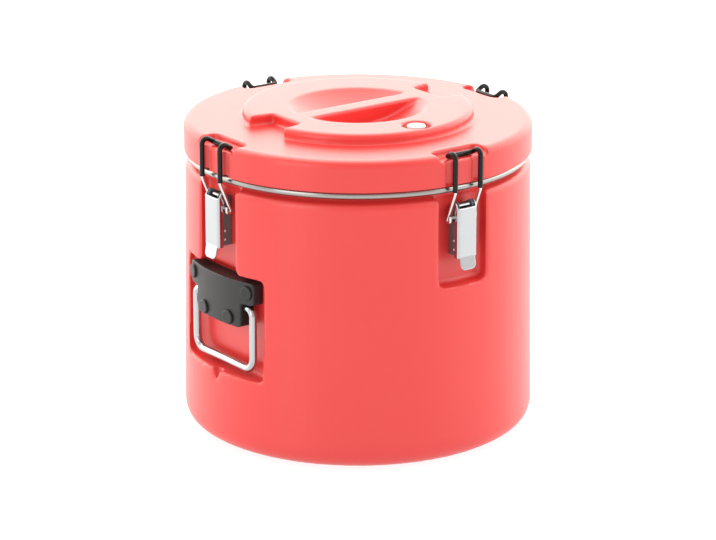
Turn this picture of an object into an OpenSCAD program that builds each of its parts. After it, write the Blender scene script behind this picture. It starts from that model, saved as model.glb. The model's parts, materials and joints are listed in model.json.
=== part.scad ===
// Round insulated food container: foam-filled moulded shell, steel pot, lift-off lid,
// four wire toggle latches and two bail handles.
// Millimetres, +Z up, origin on the floor under the middle of the body.
// Each latch and handle is drawn on the +X side and turned to its place.

/* [Body] */
// Outer radius of the body at its shoulder
body_r = 186; // [182:0.5:192]
// How far the body widens from its shoulder down to the floor
base_flare = 4; // [0:0.5:8]
// Height of the shoulder above the floor
shoulder_z = 290; // [275:1:315]
// Radius of the rounded edge at the floor
base_round = 20; // [12:1:24]
// Radius of the rounded shoulder edge
shoulder_round = 6; // [5:0.5:9]
// Wall of the moulded shell
shell_wall = 4; // [3:0.25:5]
// Thickness of the shell's floor
floor_wall = 7; // [6:0.5:9]
// Radius of the shallow recess in the underside
recess_r = 130; // [110:1:150]
// Depth of that recess
recess_depth = 3; // [2:0.5:4]
// Height of the collar that carries the pot's rim
collar_h = 11; // [10:0.5:13]
// Step from the body's radius in to the collar
collar_inset = 10; // [10:0.25:12]

/* [Pot] */
// Thickness of the insulated wall, from the body's side in to the pot's inside
insulation = 36; // [33:0.5:44]
// Sheet thickness of the pot
pot_wall = 1.5; // [1:0.25:2]
// Height of the pot's inside floor
pot_floor_z = 38; // [30:1:60]
// Inside radius between the pot's floor and wall
pot_round = 14; // [8:1:20]
// Step from the body's radius in to the rim's edge
rim_inset = 1.5; // [1:0.25:2.5]
// Radius of the bead rolled on the rim's edge
bead_r = 4; // [3:0.05:4]
// Gap left round foam and between fixed pieces
seat_gap = 0.3; // [0.2:0.05:0.5]

/* [Lid] */
// Overhang of the lid past the body's shoulder
lid_over = 1.5; // [-1:0.25:3]
// Height of the lid's side
lid_h = 33; // [30:0.5:40]
// Gap between the pot's rim and the lid's underside
lid_gap = 0.5; // [0.4:0.1:1]
// Radius of the lid's rounded top edge
lid_round = 7; // [4:0.5:8]
// Wall of the moulded lid
lid_wall = 4; // [3:0.25:5]
// Radius of the raised disc
disc_r = 124; // [120:0.5:130]
// Height of the raised disc
disc_h = 11.5; // [9:0.5:14]
// Radius of the disc's rounded edge
disc_round = 5; // [3:0.5:7]
// Depth of the two notches in the disc's edge
notch_depth = 30; // [20:0.5:32]
// Half width of a notch at its inner face
notch_half = 25; // [18:0.5:28]
// How far a notch widens on each side towards the edge
notch_flare = 6; // [2:0.5:8]
// Clearance between the lid's plug and the pot
plug_clear = 5; // [3:0.5:8]
// Depth of the plug below the lid's underside
plug_h = 28; // [20:0.5:36]
// Step from the rim's edge in to the middle of the gasket
gasket_inset = 20.5; // [18:0.5:22]
// Width of the gasket
gasket_w = 10; // [8:0.5:12]
// Depth of the gasket's groove in the liner
groove_depth = 2.5; // [1.5:0.25:2.75]

/* [Lid grip] */
// Radius of the round grip bowl at its rim
grip_r = 74; // [66:0.5:76]
// Width of the grip bar across the bowl
grip_bar_w = 24; // [20:0.5:30]
// Depth of the bowl under the grip bar
well_depth = 21; // [16:0.5:24]

/* [Vent] */
// Distance of the vent from the lid's middle
vent_dist = 103; // [100:0.5:104]
// Radius of the vent's round recess
vent_recess_r = 15.5; // [14.5:0.5:16]
// Depth of that recess
vent_recess_depth = 6; // [5.5:0.25:7]
// Outer radius of the vent's tube
bush_r = 8; // [7:0.25:9]
// Bore radius of the vent's tube
bush_bore_r = 4; // [3:0.25:5]
// Radius of the tube's flange
bush_flange_r = 13.5; // [11:0.25:14]
// Thickness of the tube's flange
bush_flange_h = 1.5; // [1:0.25:2]
// Radius of the vent's cap
cap_r = 10; // [9.5:0.25:11]
// Height of the vent's cap
cap_h = 2.5; // [1.5:0.25:2.5]
// Length of the stem below the cap
stem_l = 40; // [20:1:60]
// Thickness of the ring under the cap
seal_t = 1.5; // [1:0.25:1.5]
// Width of the ring under the cap
seal_w = 3; // [2:0.25:4]
// Radial clearance of a pin or stem in its hole
run_fit = 0.05; // [0.02:0.01:0.09]

/* [Latch pocket] */
// Half width of a latch pocket in the body
pocket_half = 31; // [29:0.5:36]
// Depth of a latch pocket at its middle
pocket_depth = 14; // [12:0.5:16]
// Height of a latch pocket below the shoulder
pocket_h = 96.5; // [85:0.5:99]
// Corner radius of the pockets
pocket_round = 8; // [4:0.5:12]
// Half width of the ledge cut in the lid's top edge
ledge_half = 31; // [28:0.5:36]
// Reach of that ledge in from the lid's side
ledge_reach = 23.5; // [21:0.5:26]
// Drop of the ledge below the lid's top
ledge_drop = 7.2; // [6:0.2:9]
// Half width of the recess in the lid's side
side_half = 24; // [22:0.5:27]
// Depth of that recess
side_depth = 6.5; // [4:0.5:8]
// Half width of the tab left in the middle of the recess
tab_half = 11; // [8:0.5:13]
// Step from the lid's side in to the tab
tab_setback = 1.5; // [1:0.25:3]

/* [Latch] */
// Sheet thickness of bracket and lever
sheet = 1.5; // [1:0.25:2]
// Half width of the bracket
bracket_half = 9.7; // [9.5:0.1:12]
// Length of the bracket below the lever's pivot
bracket_l = 54; // [46:1:58]
// Depth of the bracket's side walls
bracket_depth = 15; // [13:0.5:16]
// Radius of the small dimples pressed in the bracket's walls
dimple_r = 1.6; // [1.2:0.1:2]
// Drop of the lever's pivot below the shoulder
pivot_drop = 11; // [9:0.5:15]
// Distance of the lever's pivot from the pocket floor
pivot_out = 12; // [11:0.5:13]
// Radius of the lever's hinge pin
pin_r = 2; // [1.5:0.1:2.2]
// Radius of the bracket's ear round the pin
ear_r = 5; // [4:0.25:5]
// Gap between bracket and lever on each side
lever_gap = 1.5; // [1:0.25:2]
// Distance of the lever's front from the pocket floor
lever_out = 19.5; // [19:0.25:21]
// Length of the lever below its pivot
lever_l = 55; // [48:1:60]
// Depth of the lever's side flanges
flange_depth = 6.5; // [5:0.25:8]
// Bend radius along the lever's front edges
lever_round = 2.5; // [1.5:0.25:3]
// Length of the lever's tongue
tongue_l = 13; // [10:0.5:16]
// Half width of the tongue
tongue_half = 10; // [7:0.5:10]
// Outward tilt of the tongue in degrees
tongue_tilt = 12; // [6:1:18]
// Corner radius of the tongue
tongue_round = 6; // [3:0.5:7]
// Radius of a latch rivet's shank
rivet_r = 2; // [1.5:0.1:2.5]
// Radius of a latch rivet's head
rivet_head_r = 3.5; // [3:0.25:4]
// Height of a latch rivet's head
rivet_head_h = 1.2; // [1:0.1:1.6]
// Distance between a latch's two rivets
rivet_span = 22; // [16:1:28]

/* [Bail] */
// Radius of the bail's wire
wire_r = 1.6; // [1.3:0.1:1.8]
// Radius of the black sleeve on the wire
sleeve_r = 2.7; // [2.2:0.1:2.9]
// Gap between the lever and each of the bail's legs
leg_side_gap = 2.2; // [1.5:0.1:4]
// Gap between the lid's side and the sleeve
leg_gap = 0.8; // [0.5:0.1:2]
// Reach of the hook in from the legs
hook_reach = 15.2; // [13.6:0.2:17]
// Downward slope of the hook in degrees
hook_slope = 30; // [20:1:35]
// Bend radius over the lid's edge
hook_bend = 5.5; // [4:0.25:6]
// Bend radius at the hook's corners
corner_bend = 4; // [3:0.25:4.5]
// Gap between the hook and the lid's ledge
hook_gap = 0.3; // [0.25:0.05:0.5]
// Drop of the sleeve's ends below the lid's underside
sleeve_drop = 6; // [4:0.5:8]
// Bare wire between the sleeve's end and the bend below it
wire_bare = 2; // [1:0.5:4]
// Drop of the bail's pivot below the lever's pivot
bail_drop = 11.5; // [10:0.25:13]
// Step of the bail's pivot from the lever's pivot towards the body
bail_inset = 1; // [0.5:0.1:2]
// Bend radius of the hairpin at the wire's end
hairpin_r = 2.4; // [2:0.1:2.5]
// Drop of the hairpin's bend below the bail's pivot
hairpin_drop = 3; // [2.5:0.25:4]

/* [Handle pocket] */
// Half width of a handle pocket
grab_half = 69; // [66:0.5:74]
// Depth of a handle pocket at its middle
grab_depth = 20; // [18:0.5:21]
// Drop of a handle pocket's top below the shoulder
grab_drop = 92; // [92:1:99]
// Height of a handle pocket
grab_h = 112; // [110:1:120]
// Half width of the drain notch in the pocket's lower lip
drain_half = 7; // [5:0.5:10]
// Height of the drain notch
drain_h = 11; // [6:0.5:14]
// Length of the drain notch in from the body's side
drain_reach = 10; // [8:0.5:14]

/* [Handle plate] */
// Reach of the plate's ears past the middle of the bar's arms
ear_past = 5; // [4.5:0.25:7.5]
// Height of the plate's ears
ear_h = 24.5; // [22:0.5:25]
// Half width of the plate's middle block
block_half = 40; // [38:0.5:42]
// Thickness of the plate in the middle; its front is round like the body
plate_t = 22; // [20:0.5:23]
// Height of the whole plate
plate_h = 51.5; // [46:0.5:54]
// Drop of the plate's top below the pocket's top
plate_drop = 4.5; // [3:0.5:6]
// Corner radius of the plate
plate_round = 4; // [2:0.5:5]
// Radius of a handle rivet's shank
stud_r = 3; // [2:0.25:3.5]
// Radius of a handle rivet's head
stud_head_r = 7.5; // [6:0.25:8]
// Height of a handle rivet's head
stud_head_h = 2.5; // [2:0.25:3]
// Depth of the flat seat under a rivet's head
stud_seat = 0.5; // [0.3:0.1:1]
// Distance of the upper rivets in from the ends of the ears
stud_edge = 8.5; // [8.5:0.25:9.5]
// Drop of the upper rivets below the plate's top
upper_stud_drop = 11; // [10:0.5:13]
// Half distance between the lower rivets
lower_stud_half = 22; // [16:0.5:30]
// Rise of the lower rivets above the plate's bottom
lower_stud_rise = 8.5; // [8:0.5:11]

/* [Handle bar] */
// Radius of the handle bar
bar_r = 4.2; // [3.5:0.1:4.3]
// Half distance between the bar's arms
arm_half = 52.5; // [51:0.5:55]
// Drop of the bar's run below its pivot
bar_drop = 67; // [58:1:70]
// Drop of the bar's pivot below the plate's top
bar_pivot_drop = 30.5; // [30:0.25:34]
// Distance of the bar's pivot from the pocket floor
bar_pivot_out = 10; // [9:0.25:11]
// Bend radius at the bar's pivot ends
arm_bend = 8; // [7:0.25:8]
// Bend radius at the ends of the bar's run
run_bend = 14; // [10:0.5:18]
// Length of the bar's ends inside the plate
bar_end = 18; // [12:0.5:20]

/* [Hidden] */
// Faces of a full circle
$fn = 96;
// Overshoot that makes cuts break through cleanly
past = 1;
// Step and overlap where a straight run of wire enters a bend, and swell of the ball at a kink
seam_step = 0.02;
seam_lap = 0.2;
ball_swell = 0.03;
// Sink of a rounded corner past the pocket edge that it runs into
corner_sink = 0.3;

// Turns about +Z that bring the +X side to each place
LATCH_SIDES = [["right", 0], ["back", 90], ["left", 180], ["front", 270]];
HANDLE_SIDES = [["right", 0], ["left", 180]];
LATCH_PARTS = ["latch_base", "latch_pin", "latch_rivets", "latch_lever", "bail_wire", "bail_sleeve"];
HANDLE_PARTS = ["handle_plate", "handle_bar", "handle_rivets"];

// Colours
RED = "#e8363a";
BLACK = "#2b2b2d";
STEEL = "#c9cccf";
DARK_STEEL = "#4a4d50";
FOAM = "#f0e6c8";
PALE = "#dcdad4";

// Body and pot levels
base_r = body_r + base_flare;
collar_r = body_r - collar_inset;
collar_top = shoulder_z + collar_h;
rim_r = body_r - rim_inset;
rim_top = collar_top + pot_wall;
pot_r = body_r - insulation;
pot_out_r = pot_r + pot_wall;

// Lid levels
lid_r = body_r + lid_over;
gasket_r = rim_r - gasket_inset;
outside = max(base_r, lid_r) + lever_out;
lid_low = rim_top + lid_gap;
lid_top = lid_low + lid_h;
disc_top = lid_top + disc_h;
ledge_z = lid_top - ledge_drop;
liner_top = lid_low + lid_wall;
plug_r = pot_r - plug_clear;
plug_low = lid_low - plug_h;
sky = disc_top + past;
vent_floor = disc_top - vent_recess_depth;
bowl_r = (grip_r * grip_r + well_depth * well_depth) / (2 * well_depth);

// Latch places, measured from the middle of the body
latch_floor = body_r - pocket_depth;
pivot_x = latch_floor + pivot_out;
pivot_z = shoulder_z - pivot_drop;
lever_x = latch_floor + lever_out;
lever_half = bracket_half + lever_gap + sheet;
lever_low = pivot_z - lever_l;
plate_top_z = pivot_z - pin_r + run_fit;
bracket_low = pivot_z - bracket_l;

// Bail places
leg_half = lever_half + leg_side_gap + wire_r;
bail_x = pivot_x - bail_inset;
bail_z = pivot_z - bail_drop;
leg_x = lid_r + leg_gap + sleeve_r;
hook_x = leg_x - hook_reach;
hook_z = ledge_z + hook_gap + sleeve_r;
hook_run = (hook_reach - hook_bend * (1 + sin(hook_slope))) / cos(hook_slope);
bend_z = hook_z + hook_run * sin(hook_slope) - hook_bend * cos(hook_slope);
sleeve_low = lid_low - sleeve_drop;
hairpin_z = bail_z - hairpin_drop;
wire_end_y = lever_half - sheet + run_fit;

// Handle places
grab_floor = body_r - grab_depth;
grab_top = shoulder_z - grab_drop;
grab_low = grab_top - grab_h;
plate_top = grab_top - plate_drop;
plate_r = grab_floor + plate_t;
plate_half = arm_half + ear_past;
bar_x = grab_floor + bar_pivot_out;
bar_z = plate_top - bar_pivot_drop;
// Rivets of a handle plate: turn from the +X side and height
STUDS = [
    [asin((plate_half - stud_edge) / plate_r), plate_top - upper_stud_drop],
    [asin(lower_stud_half / plate_r), plate_top - plate_h + lower_stud_rise]
];

// Turn a piece drawn on the +X side to its own side
module at_side(turn) {
    rotate([0, 0, turn]) children();
}

// Push an outline in (y, z) outwards along X between two distances
module outwards(near, far) {
    translate([near, 0, 0]) rotate([90, 0, 90]) linear_extrude(far - near) children();
}

// Push an outline in (x, z) along Y between two places
module across(low, high) {
    translate([0, high, 0]) rotate([90, 0, 0]) linear_extrude(high - low) children();
}

// Both halves of something drawn on the +Y side
module both() {
    children();
    mirror([0, 1, 0]) children();
}

// Outline with its two lower corners rounded
module pouch(half, low, high, r) {
    translate([-half, low + r]) square([2 * half, high - low - r]);
    translate([-half + r, low]) square([2 * (half - r), high - low]);
    for (side = [-1, 1]) translate([side * (half - r), low + r]) circle(r);
}

// Outline with all four corners rounded
module panel(half, low, high, r) {
    translate([-half, low + r]) square([2 * half, high - low - 2 * r]);
    translate([-half + r, low]) square([2 * (half - r), high - low]);
    for (side = [-1, 1]) for (z = [low + r, high - r]) translate([side * (half - r), z]) circle(r);
}

// Half outline of a round slab with a rounded upper edge
module slab(r, low, high, edge) {
    translate([0, low]) square([r, high - low - edge]);
    translate([0, low]) square([r - edge, high - low]);
    translate([r - edge, high - edge]) circle(edge);
}

// Half outline of a round pan with a rounded lower edge
module pan(r, low, high, edge) {
    translate([0, low + edge]) square([r, high - low - edge]);
    translate([0, low]) square([r - edge, high - low]);
    translate([r - edge, low + edge]) circle(edge);
}

// Straight rod between two points, with the child outline as its section
module rod(from, to) {
    run = to - from;
    translate(from)
        rotate([0, acos(run[2] / norm(run)), atan2(run[1], run[0])])
            linear_extrude(norm(run)) children();
}

// Bend of a rod in the (x, z) plane about a centre, with the child outline as its section
module bend(centre, bend_r, start, sweep) {
    translate(centre) rotate([90, 0, 0]) rotate([0, 0, start])
        rotate_extrude(angle = sweep) translate([bend_r, 0]) children();
}

// Straight run of wire whose ends lap into the bends next to it
module wire_run(from, to, r) {
    lap = seam_lap * (to - from) / norm(to - from);
    rod(from - lap, to + lap) circle(r - seam_step);
}

// Body: half outline from a floor level up, set in by a wall
module body_outline(inset, low, top) {
    foot = base_r - base_round;
    foot_z = low + base_round - inset;
    brow = body_r - shoulder_round;
    brow_z = shoulder_z - shoulder_round;
    polygon([
        [0, low], [foot, low], [foot, foot_z], [base_r - inset, foot_z],
        [body_r - inset, brow_z], [brow, brow_z], [brow, shoulder_z - inset], [0, shoulder_z - inset]
    ]);
    translate([0, low]) square([collar_r - inset, top - low]);
    translate([foot, foot_z]) circle(base_round - inset);
    translate([brow, brow_z]) circle(shoulder_round - inset);
}

// Space inside the shell, set in by a wall from its outside
module body_space(inset) {
    difference() {
        rotate_extrude() body_outline(inset, floor_wall + inset - shell_wall, collar_top - inset);
        body_pockets(inset);
    }
}

// Latch pocket on the +X side, grown by a wall
module latch_pocket(grow, low) {
    outwards(latch_floor - grow, outside)
        pouch(pocket_half + grow, low - grow, shoulder_z + grow / 2, pocket_round);
}

// Handle pocket with its drain notch on the +X side, grown by a wall
module grab_pocket(grow) {
    outwards(grab_floor - grow, outside)
        panel(grab_half + grow, grab_low - grow, grab_top + grow, pocket_round);
    outwards(base_r - drain_reach - grow, outside) polygon([
        [-drain_half - 2 * grow, grab_low + past],
        [drain_half + 2 * grow, grab_low + past],
        [0, grab_low - drain_h - 2 * grow]
    ]);
}

// Rounded corner between a latch pocket's side and the handle pocket's top, grown by a wall
module pocket_corner(grow) {
    r = pocket_round - grow;
    outwards(latch_floor - grow, outside) translate([pocket_half + grow, grab_top + grow]) difference() {
        translate([-past, -past]) square(r + past);
        translate([r, r - corner_sink]) circle(r);
    }
}

// All pockets of the body, grown by a wall
module body_pockets(grow) {
    for (side = LATCH_SIDES) at_side(side[1]) latch_pocket(grow, shoulder_z - pocket_h);
    for (side = HANDLE_SIDES) at_side(side[1]) {
        latch_pocket(grow, grab_top - 2 * pocket_round);
        both() pocket_corner(grow);
        grab_pocket(grow);
    }
}

// Moulded outer shell
module outer_shell() {
    color(RED) difference() {
        rotate_extrude() body_outline(0, 0, collar_top);
        translate([0, 0, -past]) cylinder(h = recess_depth + past, r = recess_r);
        body_pockets(0);
        body_space(shell_wall);
        translate([0, 0, collar_top - shell_wall - past])
            cylinder(h = shell_wall + 2 * past, r = pot_out_r + seat_gap);
        for (side = LATCH_SIDES) at_side(side[1]) latch_rivet_holes();
        for (side = HANDLE_SIDES) at_side(side[1]) stud_holes();
    }
}

// Foam between shell and pot
module body_foam() {
    color(FOAM) difference() {
        body_space(shell_wall + seat_gap);
        translate([0, 0, pot_floor_z - pot_wall - seat_gap])
            cylinder(h = collar_top, r = pot_out_r + seat_gap);
    }
}

// Steel pot with its flanged rim and rolled edge
module inner_pot() {
    color(STEEL) rotate_extrude() {
        difference() {
            pan(pot_out_r, pot_floor_z - pot_wall, rim_top, pot_round + pot_wall);
            pan(pot_r, pot_floor_z, rim_top + past, pot_round);
        }
        translate([pot_r + pot_wall / 2, collar_top])
            square([rim_r - bead_r - pot_r - pot_wall / 2, pot_wall]);
        translate([rim_r - bead_r, rim_top - bead_r]) circle(bead_r);
    }
}

// Finger well on the +Y side of the grip bar, half a round bowl, grown by a wall
module finger_well(grow) {
    side_y = grip_bar_w / 2 - grow;
    floor_z = disc_top - well_depth - grow;
    wide = grip_r + 2 * grow + 2 * past;
    intersection() {
        translate([0, 0, disc_top - well_depth + bowl_r]) sphere(bowl_r + grow);
        translate([-wide, side_y, floor_z - past]) cube([2 * wide, wide, sky - floor_z + past]);
    }
}

// Notch in the disc's edge on the +X side, grown by a wall
module disc_notch(grow) {
    face = disc_r - notch_depth;
    mouth = notch_half + notch_flare;
    far = disc_r + past;
    translate([0, 0, lid_top - grow]) linear_extrude(disc_h + grow + past) polygon([
        [face - grow, -notch_half - grow], [far, -mouth - grow],
        [far, mouth + grow], [face - grow, notch_half + grow]
    ]);
}

// Ledge and side recess for the hook on the lid's +X side, grown by a wall
module hook_seat(grow) {
    translate([0, 0, ledge_z - grow]) linear_extrude(sky - ledge_z + grow)
        rotate([0, 0, -90]) pouch(ledge_half + grow, lid_r - ledge_reach - grow, outside, pocket_round);
    difference() {
        outwards(lid_r - side_depth - grow, outside)
            translate([-side_half - grow, lid_low - past])
                square([2 * (side_half + grow), ledge_z - lid_low + past]);
        if (grow == 0) outwards(lid_r - side_depth - past, lid_r - tab_setback)
            translate([-tab_half, lid_low - 2 * past])
                square([2 * tab_half, ledge_z - lid_low + 2 * past]);
    }
}

// All cuts in the lid's outside, grown by a wall
module lid_cuts(grow) {
    finger_well(grow);
    rotate([0, 0, 180]) finger_well(grow);
    for (side = HANDLE_SIDES) at_side(side[1]) disc_notch(grow);
    for (side = LATCH_SIDES) at_side(side[1]) hook_seat(grow);
    translate([0, -vent_dist, vent_floor - grow])
        cylinder(h = vent_recess_depth + grow + past, r = vent_recess_r + grow);
}

// Space inside the lid above a level, set in by a wall from its outside
module lid_space(inset, low) {
    difference() {
        rotate_extrude() {
            slab(lid_r - inset, low, lid_top - inset, lid_round - inset / 2);
            slab(disc_r - inset, low, disc_top - inset, disc_round - inset / 2);
        }
        lid_cuts(inset);
    }
}

// Round hole through the lid for the vent's tube
module vent_hole() {
    translate([0, -vent_dist, plug_low - past]) cylinder(h = sky - plug_low, r = bush_r + run_fit);
}

// Moulded top of the lid
module lid_shell() {
    color(RED) difference() {
        rotate_extrude() {
            slab(lid_r, lid_low, lid_top, lid_round);
            slab(disc_r, lid_low, disc_top, disc_round);
        }
        lid_cuts(0);
        lid_space(lid_wall, lid_low - past);
        vent_hole();
    }
}

// Foam inside the lid and its plug
module lid_foam() {
    color(FOAM) difference() {
        union() {
            lid_space(lid_wall + seat_gap, liner_top + seat_gap);
            translate([0, 0, plug_low + lid_wall + seat_gap])
                cylinder(h = plug_h + past, r = plug_r - lid_wall - seat_gap);
        }
        vent_hole();
    }
}

// Inner pan of the lid with the plug that enters the pot
module lid_liner() {
    color(RED) difference() {
        union() {
            translate([0, 0, lid_low]) cylinder(h = lid_wall, r = lid_r - lid_wall - seat_gap);
            rotate_extrude() pan(plug_r, plug_low, liner_top, lid_wall);
        }
        translate([0, 0, plug_low + lid_wall]) cylinder(h = plug_h + past, r = plug_r - lid_wall);
        translate([0, 0, lid_low - past]) difference() {
            cylinder(h = groove_depth + past, r = gasket_r + gasket_w / 2);
            cylinder(h = groove_depth + past, r = gasket_r - gasket_w / 2);
        }
        for (side = LATCH_SIDES) at_side(side[1]) hook_seat(lid_wall + seat_gap);
        vent_hole();
    }
}

// Soft ring between the lid and the pot's rim
module lid_gasket() {
    low = rim_top + seat_gap;
    color(BLACK) translate([0, 0, low]) difference() {
        cylinder(h = lid_low + groove_depth - low, r = gasket_r + gasket_w / 2 - run_fit);
        translate([0, 0, -past])
            cylinder(h = lid_low + groove_depth - low + 2 * past, r = gasket_r - gasket_w / 2 + run_fit);
    }
}

// Vent tube through the lid
module vent_bush() {
    color(PALE) translate([0, -vent_dist, 0]) difference() {
        union() {
            translate([0, 0, vent_floor]) cylinder(h = bush_flange_h, r = bush_flange_r);
            translate([0, 0, plug_low]) cylinder(h = vent_floor + bush_flange_h - plug_low, r = bush_r);
        }
        translate([0, 0, plug_low - past]) cylinder(h = sky - plug_low, r = bush_bore_r);
    }
}

// Vent cap with its stem
module vent_plug() {
    low = vent_floor + bush_flange_h + seat_gap + seal_t;
    color(PALE) translate([0, -vent_dist, 0]) {
        rotate_extrude() slab(cap_r, low, low + cap_h, cap_h / 2);
        translate([0, 0, low - stem_l]) cylinder(h = stem_l + cap_h / 2, r = bush_bore_r - run_fit);
    }
}

// Ring under the vent's cap
module vent_seal() {
    inner = bush_bore_r;
    color(BLACK) translate([0, -vent_dist, vent_floor + bush_flange_h + seat_gap]) difference() {
        cylinder(h = seal_t, r = inner + seal_w);
        translate([0, 0, -past]) cylinder(h = seal_t + 2 * past, r = inner);
    }
}

// Heights of a latch's two rivets
function rivet_heights() = [for (side = [-1, 1]) (bracket_low + bail_z) / 2 + side * rivet_span / 2];

// Holes for a latch's rivets through bracket and shell
module latch_rivet_holes() {
    for (z = rivet_heights())
        translate([latch_floor - shell_wall - past, 0, z]) rotate([0, 90, 0])
            cylinder(h = shell_wall + sheet + 2 * past, r = rivet_r + run_fit);
}

// Bracket's side wall in (x, z): an ear round the pin that slopes back to the pocket floor
module bracket_wall() {
    slope = ear_r * sqrt(0.5);
    top_x = pivot_x - slope;
    top_z = pivot_z + slope;
    front = latch_floor + bracket_depth;
    translate([pivot_x, pivot_z]) circle(ear_r);
    polygon([
        [latch_floor, bracket_low], [front, bracket_low], [front, pivot_z - 2 * ear_r],
        [pivot_x + ear_r, pivot_z], [pivot_x, pivot_z],
        [top_x, top_z], [latch_floor, top_z - (top_x - latch_floor) / 2]
    ]);
}

// Dark bracket of a latch: floor, two walls and pressed dimples
module latch_base() {
    back_top = pivot_z + ear_r * sqrt(0.5) - (pivot_out - ear_r * sqrt(0.5)) / 2;
    color(DARK_STEEL) difference() {
        union() {
            translate([latch_floor, -bracket_half, bracket_low])
                cube([sheet, 2 * bracket_half, back_top - bracket_low]);
            both() across(bracket_half - sheet, bracket_half) bracket_wall();
            both() for (rise = [2, 5]) translate([
                latch_floor + bracket_depth / 2,
                bracket_half - dimple_r / 2,
                bracket_low + rise * 2 * dimple_r
            ]) sphere(dimple_r);
        }
        translate([pivot_x, 0, pivot_z]) rotate([90, 0, 0])
            cylinder(h = 2 * lever_half, r = pin_r + run_fit, center = true);
        latch_rivet_holes();
    }
}

// Hinge pin of a latch's lever
module latch_pin() {
    color(STEEL) translate([pivot_x, 0, pivot_z]) rotate([90, 0, 0])
        cylinder(h = 2 * lever_half, r = pin_r, center = true);
}

// Two rivets that hold a latch's bracket
module latch_rivets() {
    color(STEEL) for (z = rivet_heights()) translate([latch_floor, 0, z]) rotate([0, 90, 0]) {
        translate([0, 0, seat_gap - shell_wall]) cylinder(h = shell_wall + sheet, r = rivet_r);
        translate([0, 0, sheet]) rotate_extrude()
            slab(rivet_head_r, 0, rivet_head_h, rivet_head_h / 2);
    }
}

// Side of a lever in (x, z), with ears round its two pivots
module lever_side() {
    back = lever_x - flange_depth;
    ear = pin_r + 2 * sheet;
    translate([back, lever_low]) square([flange_depth, plate_top_z - lever_low]);
    translate([pivot_x, pivot_z]) circle(ear);
    translate([bail_x, bail_z]) circle(ear);
    polygon([
        [bail_x - ear, bail_z], [bail_x, bail_z - ear], [back, bail_z - 2 * ear], [lever_x, bail_z - 2 * ear],
        [lever_x, plate_top_z], [pivot_x, pivot_z + ear], [pivot_x - ear, pivot_z]
    ]);
}

// Section of a lever in (x, y): a front with two rounded bends and two flanges
module lever_section() {
    rotate([0, 0, 90]) difference() {
        pouch(lever_half, -lever_x, -latch_floor, lever_round);
        pouch(lever_half - sheet, sheet - lever_x, past - latch_floor, lever_round - sheet);
    }
}

// Pressed lever of a latch with its bent tongue
module latch_lever() {
    color(STEEL) difference() {
        union() {
            intersection() {
                translate([0, 0, lever_low - past])
                    linear_extrude(lever_l + 2 * ear_r + past) lever_section();
                across(-lever_half - past, lever_half + past) lever_side();
            }
            translate([lever_x, 0, lever_low + sheet]) rotate([0, -tongue_tilt, 0])
                outwards(-sheet, 0) pouch(tongue_half, -tongue_l - sheet, 0, tongue_round);
        }
        translate([pivot_x, 0, pivot_z]) rotate([90, 0, 0])
            cylinder(h = 2 * lever_half + past, r = pin_r + run_fit, center = true);
        translate([bail_x, 0, bail_z]) rotate([90, 0, 0])
            cylinder(h = 2 * lever_half + past, r = wire_r + run_fit, center = true);
    }
}

// Hook and legs of a bail down to the sleeve's ends, with a tail below them
module bail_upper(r, tail) {
    translate([hook_x, 0, hook_z]) rotate([0, -hook_slope, 0]) {
        wire_run([0, corner_bend - leg_half, 0], [0, leg_half - corner_bend, 0], r);
        both() {
            translate([corner_bend, leg_half - corner_bend, 0]) rotate([0, 0, 90])
                rotate_extrude(angle = 90) translate([corner_bend, 0]) circle(r);
            wire_run([corner_bend, leg_half, 0], [hook_run, leg_half, 0], r);
            translate([hook_run, leg_half, -hook_bend]) rotate([0, hook_slope, 0]) {
                bend([0, 0, 0], hook_bend, 0, 90 + hook_slope) circle(r);
                wire_run([hook_bend, 0, sleeve_low - tail - bend_z], [hook_bend, 0, 0], r);
            }
        }
    }
}

// Bare wire of a bail with hairpin ends that turn in the lever's holes
module bail_wire() {
    knee = [leg_x, leg_half, sleeve_low - wire_bare];
    turn = [bail_x - hairpin_r, leg_half, hairpin_z];
    eye = [bail_x, leg_half, bail_z];
    reach = [knee[0] - turn[0], knee[2] - turn[2]];
    heel_angle = atan2(reach[1], reach[0]) + acos(hairpin_r / norm(reach));
    heel = turn + hairpin_r * [cos(heel_angle), 0, sin(heel_angle)];
    ball_r = wire_r + ball_swell;
    color(STEEL) {
        bail_upper(wire_r, wire_bare);
        both() {
            translate(knee) sphere(ball_r);
            wire_run(knee, heel, wire_r);
            bend(turn, hairpin_r, heel_angle, 360 - heel_angle) circle(wire_r);
            wire_run([bail_x, leg_half, hairpin_z], eye, wire_r);
            translate(eye) sphere(ball_r);
            wire_run([bail_x, wire_end_y, bail_z], eye, wire_r);
        }
    }
}

// Black sleeve over a bail's hook and legs
module bail_sleeve() {
    color(BLACK) difference() {
        bail_upper(sleeve_r, 0);
        bail_upper(wire_r + run_fit, past);
    }
}

// Turn a piece drawn along +Z from the body's middle to a rivet's place, square to the plate's front
module at_stud(stud) {
    both() rotate([0, 0, stud[0]]) translate([0, 0, stud[1]]) rotate([0, 90, 0]) children();
}

// Holes for a handle's rivets through plate and shell, with flat seats for the heads
module stud_holes() {
    for (stud = STUDS) at_stud(stud) {
        translate([0, 0, grab_floor - shell_wall - past])
            cylinder(h = shell_wall + plate_t + 2 * past, r = stud_r + run_fit);
        translate([0, 0, plate_r - stud_seat]) cylinder(h = plate_t, r = stud_head_r + run_fit);
    }
}

// Black moulded plate of a handle: middle block and two ears behind one round front
module handle_plate() {
    plate_low = plate_top - plate_h;
    color(BLACK) difference() {
        intersection() {
            outwards(grab_floor, outside) {
                panel(plate_half, plate_top - ear_h, plate_top, plate_round);
                panel(block_half, plate_low, plate_top, plate_round);
            }
            translate([0, 0, plate_low - past]) cylinder(h = plate_h + 2 * past, r = plate_r);
        }
        stud_holes();
        both() translate([bar_x, block_half - bar_end - past, bar_z]) rotate([-90, 0, 0])
            cylinder(h = bar_end + 2 * past, r = bar_r + run_fit);
    }
}

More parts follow.
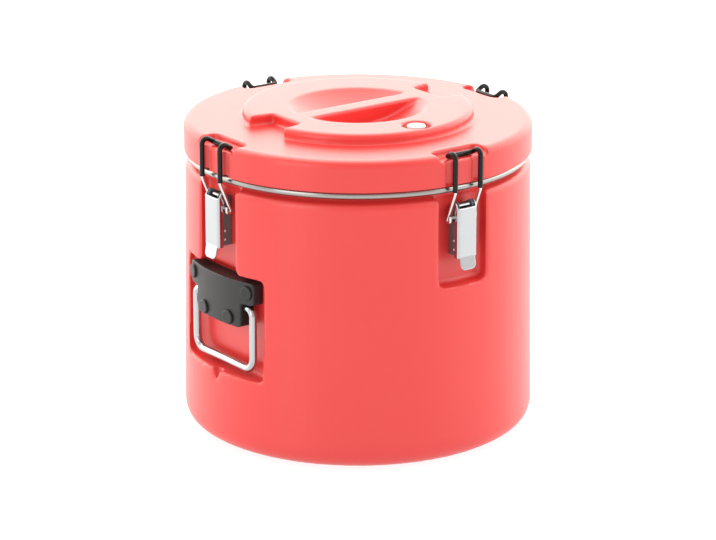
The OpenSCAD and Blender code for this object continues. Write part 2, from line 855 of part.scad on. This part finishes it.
// Round bail of a handle, hanging
module handle_bar() {
    run_z = bar_z - bar_drop;
    color(STEEL) translate([bar_x, 0, 0]) {
        both() {
            rod([0, block_half - bar_end, bar_z], [0, arm_half - arm_bend, bar_z]) circle(bar_r);
            translate([0, arm_half - arm_bend, bar_z - arm_bend]) rotate([90, 0, 90])
                rotate_extrude(angle = 90) translate([arm_bend, 0]) circle(bar_r);
            rod([0, arm_half, run_z + run_bend], [0, arm_half, bar_z - arm_bend]) circle(bar_r);
            translate([0, arm_half - run_bend, run_z + run_bend]) rotate([90, 0, 90]) rotate([0, 0, -90])
                rotate_extrude(angle = 90) translate([run_bend, 0]) circle(bar_r);
        }
        rod([0, run_bend - arm_half, run_z], [0, arm_half - run_bend, run_z]) circle(bar_r);
    }
}

// Four black rivets of a handle plate
module handle_rivets() {
    head_low = plate_r - stud_seat;
    color(BLACK) for (stud = STUDS) at_stud(stud) {
        foot = (grab_floor - shell_wall + seat_gap + stud_r * sin(stud[0])) / cos(stud[0]);
        translate([0, 0, foot]) cylinder(h = plate_r - foot, r = stud_r);
        translate([0, 0, head_low]) rotate_extrude()
            slab(stud_head_r, 0, stud_seat + stud_head_h, stud_head_h / 2);
    }
}

outer_shell();
body_foam();
inner_pot();
lid_shell();
lid_foam();
lid_liner();
lid_gasket();
vent_bush();
vent_plug();
vent_seal();
for (side = LATCH_SIDES) at_side(side[1]) {
    latch_base();
    latch_pin();
    latch_rivets();
    latch_lever();
    bail_wire();
    bail_sleeve();
}
for (side = HANDLE_SIDES) at_side(side[1]) {
    handle_plate();
    handle_bar();
    handle_rivets();
}
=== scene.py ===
"""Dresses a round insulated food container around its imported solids.

The moulded body, lid, handle plates and pressed latch parts are softened copies of their solids, with the
rounded edges that moulding and pressing give. Everything is in metres, in the solids' own frame.
"""

import json
import logging
import math
from collections.abc import Iterator
from contextlib import contextmanager
from dataclasses import dataclass
from enum import Enum

import bpy
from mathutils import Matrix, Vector

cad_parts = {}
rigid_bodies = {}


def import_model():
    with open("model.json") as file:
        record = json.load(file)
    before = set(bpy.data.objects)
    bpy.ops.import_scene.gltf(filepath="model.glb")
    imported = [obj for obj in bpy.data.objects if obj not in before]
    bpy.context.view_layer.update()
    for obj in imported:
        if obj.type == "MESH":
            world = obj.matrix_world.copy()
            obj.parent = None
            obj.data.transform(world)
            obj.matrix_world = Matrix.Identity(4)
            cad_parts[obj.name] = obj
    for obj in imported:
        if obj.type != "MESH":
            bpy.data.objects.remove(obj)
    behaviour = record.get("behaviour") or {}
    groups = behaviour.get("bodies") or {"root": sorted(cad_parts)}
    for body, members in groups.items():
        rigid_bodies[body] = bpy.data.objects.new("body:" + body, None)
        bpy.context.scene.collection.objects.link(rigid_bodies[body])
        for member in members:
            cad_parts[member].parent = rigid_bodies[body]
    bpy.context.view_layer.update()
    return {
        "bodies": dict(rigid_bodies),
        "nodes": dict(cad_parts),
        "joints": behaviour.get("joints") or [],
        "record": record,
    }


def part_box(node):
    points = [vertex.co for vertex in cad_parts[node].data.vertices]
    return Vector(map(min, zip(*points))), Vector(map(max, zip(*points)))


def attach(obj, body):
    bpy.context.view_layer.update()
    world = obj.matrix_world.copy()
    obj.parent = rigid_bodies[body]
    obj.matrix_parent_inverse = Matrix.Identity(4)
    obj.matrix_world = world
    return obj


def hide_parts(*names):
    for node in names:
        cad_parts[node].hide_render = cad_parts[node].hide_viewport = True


LOG = logging.getLogger("food_container")
MM = 0.001
# Vertices closer than this are one vertex of a solid's loose triangles
MERGE_GAP = 0.002 * MM
# Edges flatter than this are shaded smooth on cut pieces
SMOOTH_ANGLE = math.radians(35)


class Side(Enum):
    """Sides of the container that carry a latch, with the outward direction of each."""

    RIGHT = ("right", (1.0, 0.0, 0.0))
    BACK = ("back", (0.0, 1.0, 0.0))
    LEFT = ("left", (-1.0, 0.0, 0.0))
    FRONT = ("front", (0.0, -1.0, 0.0))

    def part(self, name: str) -> str:
        """Name of a repeated solid, body or piece on this side."""
        return f"{self.value[0]}_{name}"

    @property
    def outward(self) -> Vector:
        """Direction from the container's axis to this side."""
        return Vector(self.value[1])


HANDLE_SIDES = (Side.RIGHT, Side.LEFT)


def linear(hex_colour: str) -> tuple[float, float, float, float]:
    """Turn an sRGB hex colour into linear RGBA.

    Args:
        hex_colour: Colour such as "e0303a".

    Returns:
        Linear red, green and blue, and an alpha of one.
    """
    channels = [int(hex_colour[i:i + 2], 16) / 255 for i in (0, 2, 4)]
    values = [c / 12.92 if c <= 0.04045 else ((c + 0.055) / 1.055) ** 2.4 for c in channels]
    return (values[0], values[1], values[2], 1.0)


def add_node(
    tree: bpy.types.NodeTree,
    kind: str,
    values: dict | None = None,
    links: dict | None = None,
    **settings: object,
) -> bpy.types.Node:
    """Add a shader node with its settings, socket values and incoming links.

    Args:
        tree: Node tree that gets the node.
        kind: Node type name.
        values: Input socket to constant value.
        links: Input socket to the output socket that feeds it.
        settings: Attributes of the node.

    Returns:
        The new node.
    """
    node = tree.nodes.new(kind)
    for name, value in settings.items():
        setattr(node, name, value)
    for socket, value in (values or {}).items():
        node.inputs[socket].default_value = value
    for socket, source in (links or {}).items():
        tree.links.new(source, node.inputs[socket])
    return node


@dataclass(frozen=True)
class Finish:
    """A real material with the colour, gloss and fine relief that its surface shows.

    A grain of `grain` metres stands out by `relief` metres and shifts the roughness by `roughness_spread`.
    `stretch` lengthens the grain along each axis, as brushing or drawing does. The colour wanders to
    `worn_colour` in patches of `mottle` metres. Nearer the container's axis than `inner_reach` it is
    `inner_colour`, where one is given.
    """

    name: str
    colour: str
    worn_colour: str
    roughness: float
    roughness_spread: float
    grain: float
    relief: float
    metallic: float = 0.0
    ior: float = 1.5
    mottle: float = 30 * MM
    stretch: tuple[float, float, float] = (1.0, 1.0, 1.0)
    inner_colour: str = ""
    inner_reach: float = 0.0
    grain_detail: float = 2.0
    grain_falloff: float = 0.5
    mottle_detail: float = 3.0
    mottle_falloff: float = 0.55

    def material(self) -> bpy.types.Material:
        """Build the finish as a procedural material on Object coordinates.

        Returns:
            The new material.
        """
        material = bpy.data.materials.new(self.name)
        material.use_nodes = True
        tree = material.node_tree
        tree.nodes.clear()
        place = add_node(tree, "ShaderNodeTexCoord").outputs["Object"]
        drawn = add_node(
            tree, "ShaderNodeMapping",
            values={"Scale": tuple(1 / s for s in self.stretch)}, links={"Vector": place},
        ).outputs["Vector"]
        grain = add_node(
            tree, "ShaderNodeTexNoise",
            values={"Scale": 1 / self.grain, "Detail": self.grain_detail, "Roughness": self.grain_falloff},
            links={"Vector": drawn},
        ).outputs["Fac"]
        gloss = add_node(
            tree, "ShaderNodeMapRange",
            values={
                "To Min": self.roughness - self.roughness_spread,
                "To Max": self.roughness + self.roughness_spread,
            },
            links={"Value": grain},
        ).outputs["Result"]
        relief = add_node(
            tree, "ShaderNodeBump",
            values={"Strength": 1.0, "Distance": self.relief}, links={"Height": grain},
        ).outputs["Normal"]
        shader = add_node(
            tree, "ShaderNodeBsdfPrincipled",
            values={"Metallic": self.metallic, "IOR": self.ior},
            links={"Base Color": self.tint(tree, place), "Roughness": gloss, "Normal": relief},
        )
        add_node(tree, "ShaderNodeOutputMaterial", links={"Surface": shader.outputs["BSDF"]})
        return material

    def tint(self, tree: bpy.types.NodeTree, place: bpy.types.NodeSocket) -> bpy.types.NodeSocket:
        """Mix the mottled colour, and the inner colour where the finish has one.

        Args:
            tree: The material's node tree.
            place: Socket with the Object coordinates.

        Returns:
            Socket with the colour.
        """
        mottle = add_node(
            tree, "ShaderNodeTexNoise",
            values={"Scale": 1 / self.mottle, "Detail": self.mottle_detail, "Roughness": self.mottle_falloff},
            links={"Vector": place},
        ).outputs["Fac"]
        # The third output of a Mix node is its colour
        colour = add_node(
            tree, "ShaderNodeMix", data_type="RGBA",
            values={"A": linear(self.colour), "B": linear(self.worn_colour)}, links={"Factor": mottle},
        ).outputs[2]
        if not self.inner_colour:
            return colour
        level = add_node(
            tree, "ShaderNodeVectorMath", operation="MULTIPLY",
            values={1: (1.0, 1.0, 0.0)}, links={0: place},
        ).outputs["Vector"]
        reach = add_node(
            tree, "ShaderNodeVectorMath", operation="LENGTH", links={0: level},
        ).outputs["Value"]
        inner = add_node(
            tree, "ShaderNodeMath", operation="LESS_THAN", values={1: self.inner_reach}, links={0: reach},
        ).outputs["Value"]
        return add_node(
            tree, "ShaderNodeMix", data_type="RGBA",
            values={"B": linear(self.inner_colour)}, links={"Factor": inner, "A": colour},
        ).outputs[2]


# Rotomoulded polyethylene: satin, with the faint orange peel of the mould wall. The real peel is under half a
# millimetre and is drawn coarser so that it shows.
RED_MOULDING = Finish(
    name="rotomoulded red polyethylene", colour="da3431", worn_colour="d5302d", ior=1.62,
    roughness=0.36, roughness_spread=0.03, grain=1.6 * MM, relief=0.02 * MM, mottle=60 * MM,
)
# Polyurethane foam: pale and open-pored. It shows only where the model is cut open.
FOAM = Finish(
    name="rigid polyurethane foam", colour="efe4c4", worn_colour="e2d3a8",
    roughness=0.9, roughness_spread=0.05, grain=2 * MM, relief=0.3 * MM,
)
# Deep-drawn stainless sheet: satin, with faint rings from polishing. Past the pot's inner radius, which takes
# in the rim band under the lid, the colour is painted darker: painted shade for the lid's shadow and the dark
# reflections on the band. The inside, up to just past the pot's inner radius, keeps the steel's own brighter
# tone.
POT_STEEL_SHADED_RIM = Finish(
    name="drawn stainless sheet", colour="a2a2a0", worn_colour="999997", metallic=1.0,
    roughness=0.24, roughness_spread=0.06, grain=1.2 * MM, relief=0.004 * MM, stretch=(6.0, 6.0, 1.0),
    inner_colour="dadad8", inner_reach=150.5 * MM,
)
# Pressed and polished stainless: a clear mirror with slight draw lines along the part.
BRIGHT_STEEL = Finish(
    name="polished pressed stainless", colour="b6b9bd", worn_colour="aeb1b4", metallic=1.0,
    roughness=0.17, roughness_spread=0.04, grain=0.8 * MM, relief=0.002 * MM, stretch=(1.0, 1.0, 8.0),
)
# Nickel-plated spring wire: smooth and mirror bright.
PLATED_WIRE = Finish(
    name="nickel-plated spring wire", colour="e0dedc", worn_colour="d6d4d2", metallic=1.0,
    roughness=0.1, roughness_spread=0.02, grain=1.0 * MM, relief=0.001 * MM,
)
# Steel strip with a dark baked coating: low sheen.
DARK_STEEL = Finish(
    name="dark coated steel strip", colour="606b6d", worn_colour="566163",
    roughness=0.38, roughness_spread=0.06, grain=0.9 * MM, relief=0.006 * MM,
)
# Glass-filled nylon with a spark-eroded mould texture: dark grey with a soft wide sheen.
BLACK_PLASTIC = Finish(
    name="textured black nylon", colour="151618", worn_colour="1a1b1d",
    roughness=0.46, roughness_spread=0.05, grain=0.9 * MM, relief=0.03 * MM,
)
# Extruded vinyl sleeve: black with a smooth, fairly glossy skin.
BLACK_SLEEVE = Finish(
    name="black vinyl sleeve", colour="080809", worn_colour="0c0c0d", ior=1.34,
    roughness=0.24, roughness_spread=0.04, grain=1.5 * MM, relief=0.01 * MM,
)
# Silicone rubber: black and dull.
BLACK_RUBBER = Finish(
    name="black silicone rubber", colour="1b1b1c", worn_colour="222223",
    roughness=0.6, roughness_spread=0.05, grain=1.2 * MM, relief=0.02 * MM,
)
# Natural acetal: milky and waxy.
PALE_PLASTIC = Finish(
    name="natural acetal", colour="e6dfda", worn_colour="ddd5cf",
    roughness=0.35, roughness_spread=0.04, grain=1.2 * MM, relief=0.008 * MM,
)
# Nylon for the vent bush, painted dark red-brown: painted shade for the recess round the vent cap. Dull.
VENT_SHADE_NYLON = Finish(
    name="nylon painted with vent recess shade", colour="6e3634", worn_colour="653230",
    roughness=0.45, roughness_spread=0.05, grain=1.0 * MM, relief=0.01 * MM,
)


def pick(*objects: bpy.types.Object) -> None:
    """Make these objects the whole selection and the first one active."""
    bpy.ops.object.select_all(action="DESELECT")
    for item in objects:
        item.select_set(True)
    bpy.context.view_layer.objects.active = objects[0]


@contextmanager
def editing(piece: bpy.types.Object, selected: bool = True) -> Iterator[None]:
    """Keep a piece in edit mode for the length of a with block.

    Args:
        piece: Object that is edited.
        selected: Whether its whole mesh is selected first. Otherwise the selection stays as it is.
    """
    pick(piece)
    bpy.ops.object.mode_set(mode="EDIT")
    if selected:
        bpy.ops.mesh.select_all(action="SELECT")
    yield
    bpy.ops.object.mode_set(mode="OBJECT")


def apply_modifier(piece: bpy.types.Object, kind: str, **settings: object) -> None:
    """Add a modifier with its settings and apply it.

    Args:
        piece: Object that is changed.
        kind: Modifier type.
        settings: Attributes of the modifier.
    """
    pick(piece)
    modifier = piece.modifiers.new(kind.lower(), kind)
    for name, value in settings.items():
        setattr(modifier, name, value)
    bpy.ops.object.modifier_apply(modifier=modifier.name)


def merged_copy(frame: dict, nodes: list[str], title: str) -> bpy.types.Object:
    """Copy solids into one new object and merge their loose triangles.

    Args:
        frame: The loaded frame.
        nodes: Names of the solids.
        title: Name of the new object.

    Returns:
        The copy, at the origin and on no body. It is selected.
    """
    copies = []
    for name in nodes:
        copy = bpy.data.objects.new(title, frame["nodes"][name].data.copy())
        bpy.context.scene.collection.objects.link(copy)
        copies.append(copy)
    join(*copies)
    piece = copies[0]
    piece.data.name = title
    with editing(piece):
        bpy.ops.mesh.remove_doubles(threshold=MERGE_GAP)
    return piece


def join(piece: bpy.types.Object, *others: bpy.types.Object) -> None:
    """Join other objects, where there are any, into a piece and select it."""
    pick(piece, *others)
    if others:
        bpy.ops.object.join()


def cut(piece: bpy.types.Object, cutter: bpy.types.Object) -> None:
    """Cut a solid out of a piece and delete the cutter."""
    apply_modifier(piece, "BOOLEAN", operation="DIFFERENCE", solver="EXACT", object=cutter)
    bpy.data.objects.remove(cutter, do_unlink=True)


def cylinder(radius: float, low: float, high: float, sides: int = 192) -> bpy.types.Object:
    """Add an upright cylinder on the container's axis.

    Args:
        radius: Its radius.
        low: Height of its lower end.
        high: Height of its upper end.
        sides: Number of flat sides.

    Returns:
        The new object.
    """
    bpy.ops.object.select_all(action="DESELECT")
    bpy.ops.mesh.primitive_cylinder_add(
        vertices=sides, radius=radius, depth=high - low, location=(0, 0, (low + high) / 2)
    )
    bpy.ops.object.transform_apply(location=True, rotation=True, scale=True)
    return bpy.context.view_layer.objects.active


def keep_outer_skin(piece: bpy.types.Object) -> bpy.types.Object:
    """Split off closed pockets inside a remeshed piece and delete them.

    Args:
        piece: Remeshed object.

    Returns:
        The outer skin, under the piece's own name.
    """
    title = piece.name
    with editing(piece):
        bpy.ops.mesh.separate(type="LOOSE")
    *pockets, skin = sorted(bpy.context.selected_objects, key=lambda part: len(part.data.vertices))
    for pocket in pockets:
        bpy.data.objects.remove(pocket, do_unlink=True)
    skin.name = title
    skin.data.name = title
    return skin


def soften(piece: bpy.types.Object, voxel: float, passes: int, relax: float = 0.5) -> bpy.types.Object:
    """Round a piece's edges as moulding or pressing does.

    Args:
        piece: Object whose surface is closed.
        voxel: Size of the new surface's quads.
        passes: How many times the new surface is relaxed.
        relax: How far each pass moves a vertex towards the middle of its neighbours.

    Returns:
        The rounded piece.
    """
    apply_modifier(piece, "REMESH", mode="VOXEL", voxel_size=voxel, use_smooth_shade=True)
    skin = keep_outer_skin(piece)
    apply_modifier(skin, "SMOOTH", factor=relax, iterations=passes)
    return skin


def dress(piece: bpy.types.Object, material: bpy.types.Material, smooth_angle: float | None = None) -> None:
    """Give a piece its only material, and smooth shading up to an angle where one is given.

    Args:
        piece: Solid or new piece.
        material: Its finish.
        smooth_angle: Largest angle between faces that are shaded as one.
    """
    piece.data.materials.clear()
    piece.data.materials.append(material)
    if smooth_angle is not None:
        pick(piece)
        bpy.ops.object.shade_smooth_by_angle(angle=smooth_angle)
    LOG.info("%s: %s", piece.name, material.name)


def settle(piece: bpy.types.Object, body: str, slot: str, *nodes: str) -> None:
    """Put a new piece on its body and in place of its solids.

    Args:
        piece: The new piece.
        body: Body that it moves with.
        slot: Material slot of the record. Not used.
        nodes: Solids that it stands for.
    """
    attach(piece, body)
    if nodes:
        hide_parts(*nodes)
    replaced = ", ".join(nodes) or "nothing"
    LOG.info("%s: %d faces in place of %s", piece.name, len(piece.data.polygons), replaced)


@dataclass
class MouldedBody:
    """The foam-filled red shell, with soft lips round its latch and handle pockets."""

    voxel: float = 2.4 * MM
    passes: int = 4
    pot_play: float = 0.3 * MM
    straight_bore_level: float = 200 * MM
    underside_band: float = 10 * MM
    facing_down: float = -0.99999
    flat_angle: float = math.radians(0.6)

    def build(self, frame: dict, material: bpy.types.Material) -> None:
        """Round the shell as one solid wall, bore it for the pot and dress it.

        Args:
            frame: The loaded frame.
            material: The shell's finish.
        """
        shell_low, shell_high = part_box("outer_shell")
        pot_low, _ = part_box("inner_pot")
        piece = merged_copy(frame, ["outer_shell", "body_foam"], "moulded_body")
        bore_r = self.bore_radius(frame)
        join(piece, cylinder(bore_r + self.voxel, pot_low.z - 2 * self.voxel, shell_high.z))
        piece = soften(piece, self.voxel, self.passes)
        self.thin_underside(piece, shell_low.z)
        cut(piece, cylinder(bore_r, pot_low.z - self.pot_play, shell_high.z + self.voxel))
        dress(piece, material, SMOOTH_ANGLE)
        settle(piece, "container", "red_moulding", "outer_shell", "body_foam")

    def bore_radius(self, frame: dict) -> float:
        """Radius that clears the pot's wall.

        Args:
            frame: The loaded frame.

        Returns:
            The radius of the foam's own bore, taken where the bore is straight.
        """
        points = [vertex.co for vertex in frame["nodes"]["body_foam"].data.vertices]
        return min(math.hypot(point.x, point.y) for point in points if point.z > self.straight_bore_level)

    def thin_underside(self, piece: bpy.types.Object, floor: float) -> None:
        """Dissolve the flat underside into a few faces.

        Args:
            piece: The rounded shell.
            floor: Height of the floor.
        """
        with editing(piece):
            bpy.ops.mesh.select_all(action="DESELECT")
        for face in piece.data.polygons:
            low = face.center.z < floor + self.underside_band
            face.select = low and face.normal.z < self.facing_down
        with editing(piece, selected=False):
            bpy.ops.mesh.select_mode(type="FACE")
            bpy.ops.mesh.dissolve_limited(angle_limit=self.flat_angle)


@dataclass
class MouldedLid:
    """The red lid top with soft edges on its disc, wells, notches and hook ledges."""

    voxel: float = 1.75 * MM
    passes: int = 4
    edge_room: float = 8 * MM

    def build(self, frame: dict, material: bpy.types.Material) -> None:
        """Round the lid as one solid, make room for its liner and dress it.

        A second, lowered copy of the top carries the side on downward, so that the lower edge stays crisp.

        Args:
            frame: The loaded frame.
            material: The lid's finish.
        """
        lid_low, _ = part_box("lid_shell")
        piece = merged_copy(frame, ["lid_shell", "lid_foam", "lid_liner"], "moulded_lid")
        skirt = merged_copy(frame, ["lid_shell"], "lid_skirt")
        bpy.ops.transform.translate(value=(0, 0, -self.edge_room))
        bpy.ops.object.transform_apply(location=True, rotation=True, scale=True)
        join(piece, skirt)
        piece = soften(piece, self.voxel, self.passes)
        self.trim_below(piece, lid_low.z)
        cut(piece, merged_copy(frame, ["lid_liner"], "liner_room"))
        dress(piece, material, SMOOTH_ANGLE)
        settle(piece, "lid", "red_moulding", "lid_shell", "lid_foam")

    def trim_below(self, piece: bpy.types.Object, level: float) -> None:
        """Cut away everything under the lid's lower edge and close the cut.

        Args:
            piece: The rounded lid.
            level: Height of the lid's lower edge.
        """
        with editing(piece):
            bpy.ops.mesh.bisect(plane_co=(0, 0, level), plane_no=(0, 0, 1), use_fill=True, clear_inner=True)


@dataclass
class Latches:
    """Four toggle latches: dark brackets, pressed levers, wire bails and black sleeves."""

    voxel: float = 0.5 * MM
    passes: int = 2
    dome_radius: float = 1.75 * MM
    dome_shank: float = 0.5 * MM
    dome_levels: tuple[float, float] = (6.4 * MM, 16 * MM)
    dome_segments: int = 24
    dome_rings: int = 12
    solid_parts: tuple[tuple[str, str], ...] = (
        ("latch_pin", "bright_steel"), ("latch_rivets", "bright_steel"),
        ("bail_wire", "wire_chrome"), ("bail_sleeve", "black_sleeve"),
    )

    def build(self, frame: dict, finishes: dict[str, bpy.types.Material]) -> None:
        """Soften the pressed parts of every latch and dress the rest.

        Args:
            frame: The loaded frame.
            finishes: Materials by slot.
        """
        for side in Side:
            lever = merged_copy(frame, [side.part("latch_lever")], side.part("pressed_lever"))
            lever = soften(lever, self.voxel, self.passes)
            dress(lever, finishes["bright_steel"])
            settle(lever, side.part("lever"), "bright_steel", side.part("latch_lever"))
            base = merged_copy(frame, [side.part("latch_base")], side.part("pressed_bracket"))
            base = soften(base, self.voxel, self.passes)
            dress(base, finishes["dark_steel"])
            settle(base, "container", "dark_steel", side.part("latch_base"))
            self.add_domes(side, finishes["wire_chrome"])
            for part, slot in self.solid_parts:
                dress(frame["nodes"][side.part(part)], finishes[slot])

    def add_domes(self, side: Side, material: bpy.types.Material) -> None:
        """Cap the dimples in a bracket's two walls with bright rivet domes.

        Args:
            side: The latch's side.
            material: The domes' finish.
        """
        low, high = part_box(side.part("latch_base"))
        along = Vector((0, 0, 1)).cross(side.outward)
        middle = (low + high) / 2
        reach = abs((high - middle).dot(along)) - self.dome_radius
        domes = []
        for level in self.dome_levels:
            for outward in (-along, along):
                place = middle + reach * outward
                domes.append(self.make_dome(Vector((place.x, place.y, low.z + level)), outward))
        join(*domes)
        domes[0].name = side.part("rivet_domes")
        dress(domes[0], material, SMOOTH_ANGLE)
        settle(domes[0], "container", "wire_chrome")

    def make_dome(self, place: Vector, outward: Vector) -> bpy.types.Object:
        """Make one rivet dome: half a ball on a short shank.

        Args:
            place: Middle of the dome's flat side.
            outward: Direction in which the dome bulges.

        Returns:
            The new object.
        """
        bpy.ops.object.select_all(action="DESELECT")
        bpy.ops.mesh.primitive_uv_sphere_add(
            segments=self.dome_segments, ring_count=self.dome_rings, radius=self.dome_radius, location=place
        )
        bpy.ops.object.transform_apply(location=True, rotation=True, scale=True)
        dome = bpy.context.view_layer.objects.active
        with editing(dome):
            bpy.ops.mesh.bisect(plane_co=place, plane_no=outward, use_fill=True, clear_inner=True)
            bpy.ops.mesh.extrude_region_move(TRANSFORM_OT_translate={"value": -self.dome_shank * outward})
            bpy.ops.mesh.select_all(action="SELECT")
            bpy.ops.mesh.normals_make_consistent(inside=False)
        return dome


@dataclass
class Handles:
    """Two bail handles: moulded black plates with rivets, and bright swinging bars."""

    voxel: float = 0.9 * MM
    passes: int = 4

    def build(self, frame: dict, finishes: dict[str, bpy.types.Material]) -> None:
        """Soften both plates and dress bars and rivets.

        Args:
            frame: The loaded frame.
            finishes: Materials by slot.
        """
        for side in HANDLE_SIDES:
            plate = merged_copy(frame, [side.part("handle_plate")], side.part("moulded_plate"))
            plate = soften(plate, self.voxel, self.passes)
            dress(plate, finishes["black_plastic"])
            settle(plate, "container", "black_plastic", side.part("handle_plate"))
            dress(frame["nodes"][side.part("handle_bar")], finishes["bright_steel"])
            dress(frame["nodes"][side.part("handle_rivets")], finishes["black_plastic"])


@dataclass
class Fittings:
    """The pot, the liner, the gasket, the vent and the hidden foam, shown as their solids."""

    solid_parts: tuple[tuple[str, str], ...] = (
        ("inner_pot", "pot_steel"), ("lid_liner", "red_moulding"), ("lid_gasket", "black_rubber"),
        # The vent bush gets nylon painted dark red-brown: painted shade for the recess round the vent cap.
        ("vent_bush", "vent_shade_nylon"), ("vent_plug", "pale_plastic"), ("vent_seal", "black_rubber"),
        ("body_foam", "foam"), ("lid_foam", "foam"),
    )

    def build(self, frame: dict, finishes: dict[str, bpy.types.Material]) -> None:
        """Dress the solids that keep their own shape.

        Args:
            frame: The loaded frame.
            finishes: Materials by slot.
        """
        for name, slot in self.solid_parts:
            dress(frame["nodes"][name], finishes[slot])


@dataclass(frozen=True)
class Softbox:
    """A rectangular soft light: where it hangs, its width and height, and its power in watts."""

    name: str
    place: tuple[float, float, float]
    size: tuple[float, float]
    power: float


@dataclass
class Studio:
    """White floor, bright back wall, dimmer front and the camera that took the photograph."""

    distance: float = 3.6
    elevation: float = 17.59
    azimuth: float = -36.5
    target_height: float = 161.34 * MM
    focal_pixels: float = 3300.0
    image_width: int = 716
    sensor_width: float = 36.0
    far_limit: float = 100.0
    room_colour: str = "fff9f2"
    front_light: float = 0.85
    back_light: float = 3.8
    dim_facing: float = -0.5
    bright_facing: float = 0.6
    floor_size: float = 60.0
    floor_colour: str = "808080"
    floor_roughness: float = 0.25
    glow_colour: str = "ffffff"
    floor_glow: float = 0.85
    softboxes: tuple[Softbox, ...] = (
        Softbox("left_softbox", place=(-2.9, -0.6, 1.2), size=(1.4, 2.0), power=20),
        Softbox("right_softbox", place=(1.6, -2.6, 1.5), size=(1.4, 1.8), power=14),
    )

    def build(self) -> None:
        """Set up camera, world, floor and lights."""
        self.add_camera()
        self.add_world()
        self.add_floor()
        for softbox in self.softboxes:
            self.hang(softbox)

    @property
    def away(self) -> Vector:
        """Direction from the container to the camera."""
        tilt, turn = math.radians(self.elevation), math.radians(self.azimuth)
        return Vector((math.cos(tilt) * math.sin(turn), -math.cos(tilt) * math.cos(turn), math.sin(tilt)))

    @property
    def target(self) -> Vector:
        """Point on the container's axis that camera and lights face."""
        return Vector((0, 0, self.target_height))

    def add_camera(self) -> None:
        """Place the camera at the photograph's viewing angle."""
        lens = bpy.data.cameras.new("camera")
        lens.sensor_width = self.sensor_width
        lens.lens = self.focal_pixels * self.sensor_width / self.image_width
        lens.clip_end = self.far_limit
        camera = bpy.data.objects.new("camera", lens)
        camera.location = self.target + self.distance * self.away
        camera.rotation_euler = (-self.away).to_track_quat("-Z", "Y").to_euler()
        bpy.context.scene.collection.objects.link(camera)
        bpy.context.scene.camera = camera

    def add_world(self) -> None:
        """Light the room white, from dim behind the camera to bright behind the container."""
        world = bpy.data.worlds.new("white_room")
        world.use_nodes = True
        tree = world.node_tree
        tree.nodes.clear()
        place = add_node(tree, "ShaderNodeTexCoord").outputs["Generated"]
        back = Vector((-self.away.x, -self.away.y, 0.0)).normalized()
        facing = add_node(
            tree, "ShaderNodeVectorMath", operation="DOT_PRODUCT", values={1: back}, links={0: place},
        ).outputs["Value"]
        glow = add_node(
            tree, "ShaderNodeMapRange", interpolation_type="SMOOTHSTEP",
            values={
                "From Min": self.dim_facing, "From Max": self.bright_facing,
                "To Min": self.front_light, "To Max": self.back_light,
            },
            links={"Value": facing},
        ).outputs["Result"]
        light = add_node(
            tree, "ShaderNodeBackground",
            values={"Color": linear(self.room_colour)}, links={"Strength": glow},
        )
        add_node(tree, "ShaderNodeOutputWorld", links={"Surface": light.outputs["Background"]})
        bpy.context.scene.world = world
        bpy.context.scene.view_settings.view_transform = "Standard"

    def add_floor(self) -> None:
        """Add the wide white floor."""
        bpy.ops.object.select_all(action="DESELECT")
        bpy.ops.mesh.primitive_plane_add(size=self.floor_size, location=(0, 0, 0))
        floor = bpy.context.view_layer.objects.active
        floor.name = "floor"
        material = bpy.data.materials.new("white floor")
        material.use_nodes = True
        tree = material.node_tree
        tree.nodes.clear()
        shader = add_node(
            tree, "ShaderNodeBsdfPrincipled",
            values={
                "Base Color": linear(self.floor_colour), "Roughness": self.floor_roughness,
                "Emission Color": linear(self.glow_colour), "Emission Strength": self.floor_glow,
            },
        )
        add_node(tree, "ShaderNodeOutputMaterial", links={"Surface": shader.outputs["BSDF"]})
        floor.data.materials.append(material)

    def hang(self, softbox: Softbox) -> None:
        """Hang a soft light that faces the container.

        Args:
            softbox: The light's place, size and power.
        """
        light = bpy.data.lights.new(softbox.name, "AREA")
        light.shape = "RECTANGLE"
        light.size, light.size_y = softbox.size
        light.energy = softbox.power
        lamp = bpy.data.objects.new(softbox.name, light)
        lamp.location = softbox.place
        aim = self.target - Vector(softbox.place)
        lamp.rotation_euler = aim.to_track_quat("-Z", "Y").to_euler()
        bpy.context.scene.collection.objects.link(lamp)


def make_finishes() -> dict[str, bpy.types.Material]:
    """Build every finish once.

    Returns:
        Materials by slot.
    """
    finishes = {
        "red_moulding": RED_MOULDING, "foam": FOAM, "pot_steel": POT_STEEL_SHADED_RIM, "bright_steel": BRIGHT_STEEL,
        "wire_chrome": PLATED_WIRE, "dark_steel": DARK_STEEL, "black_plastic": BLACK_PLASTIC,
        "black_sleeve": BLACK_SLEEVE, "black_rubber": BLACK_RUBBER, "pale_plastic": PALE_PLASTIC,
        "vent_shade_nylon": VENT_SHADE_NYLON,
    }
    return {slot: finish.material() for slot, finish in finishes.items()}


def main() -> None:
    """Load the solids, set up the studio and dress every part."""
    logging.basicConfig(level=logging.INFO, format="%(name)s: %(message)s")
    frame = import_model()
    finishes = make_finishes()
    Studio().build()
    Fittings().build(frame, finishes)
    MouldedBody().build(frame, finishes["red_moulding"])
    MouldedLid().build(frame, finishes["red_moulding"])
    Latches().build(frame, finishes)
    Handles().build(frame, finishes)


if __name__ == "__main__":
    main()
